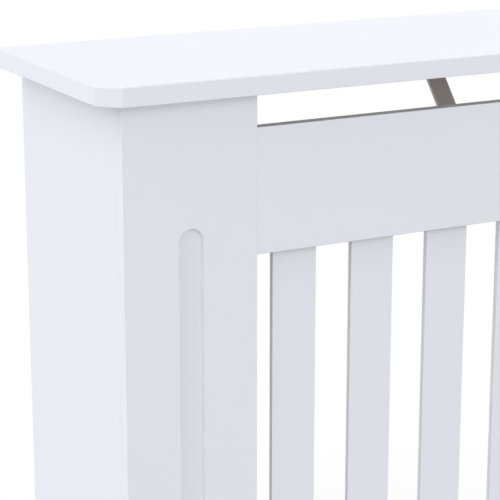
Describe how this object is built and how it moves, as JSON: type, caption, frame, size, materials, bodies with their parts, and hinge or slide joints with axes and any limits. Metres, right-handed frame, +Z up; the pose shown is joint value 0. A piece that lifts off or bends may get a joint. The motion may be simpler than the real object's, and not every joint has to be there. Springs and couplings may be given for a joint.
{
  "type": "radiator cover cabinet",
  "caption": "Open-backed painted radiator cover with fluted posts, a slatted front between two rails, a vent slot under a clipped top board and knee struts behind it.",
  "frame": {"origin": "on the floor, under the middle of the top board's outline", "axes": "+X to the right along the front, +Y back to the wall, +Z up"},
  "size_m": [1.12, 0.19, 0.815],
  "materials": {
    "white_paint": "satin white sprayed paint on board",
    "bare_wood": "planed bare softwood",
    "strut_steel": "warm grey satin coated steel",
    "zinc_steel": "bright zinc plated"
  },
  "bodies": {
    "root": {"top_board": "white_paint", "side_panel_left": "white_paint", "post_left": "white_paint", "corner_batten_left": "bare_wood", "batten_screw_left_1": "zinc_steel", "batten_screw_left_2": "zinc_steel", "batten_screw_left_3": "zinc_steel", "cleat_lower_left": "bare_wood", "cleat_screw_lower_left": "zinc_steel", "cleat_upper_left": "bare_wood", "cleat_screw_upper_left": "zinc_steel", "angle_bracket_front_left": "zinc_steel", "angle_screw_top_front_left": "zinc_steel", "angle_screw_side_front_left": "zinc_steel", "angle_bracket_rear_left": "zinc_steel", "angle_screw_top_rear_left": "zinc_steel", "angle_screw_side_rear_left": "zinc_steel", "wall_bracket_left": "zinc_steel", "wall_bracket_screw_left": "zinc_steel", "knee_strut_left": "strut_steel", "strut_screw_rail_left": "zinc_steel", "strut_screw_top_left": "zinc_steel", "side_panel_right": "white_paint", "post_right": "white_paint", "corner_batten_right": "bare_wood", "batten_screw_right_1": "zinc_steel", "batten_screw_right_2": "zinc_steel", "batten_screw_right_3": "zinc_steel", "cleat_lower_right": "bare_wood", "cleat_screw_lower_right": "zinc_steel", "cleat_upper_right": "bare_wood", "cleat_screw_upper_right": "zinc_steel", "angle_bracket_front_right": "zinc_steel", "angle_screw_top_front_right": "zinc_steel", "angle_screw_side_front_right": "zinc_steel", "angle_bracket_rear_right": "zinc_steel", "angle_screw_top_rear_right": "zinc_steel", "angle_screw_side_rear_right": "zinc_steel", "wall_bracket_right": "zinc_steel", "wall_bracket_screw_right": "zinc_steel", "knee_strut_right": "strut_steel", "strut_screw_rail_right": "zinc_steel", "strut_screw_top_right": "zinc_steel", "upper_rail": "white_paint", "lower_rail": "white_paint", "slat_01": "white_paint", "slat_02": "white_paint", "slat_03": "white_paint", "slat_04": "white_paint", "slat_05": "white_paint", "slat_06": "white_paint", "slat_07": "white_paint", "slat_08": "white_paint", "slat_09": "white_paint", "slat_10": "white_paint", "slat_11": "white_paint", "slat_12": "white_paint", "slat_13": "white_paint", "slat_14": "white_paint"}
  },
  "joints": []
}
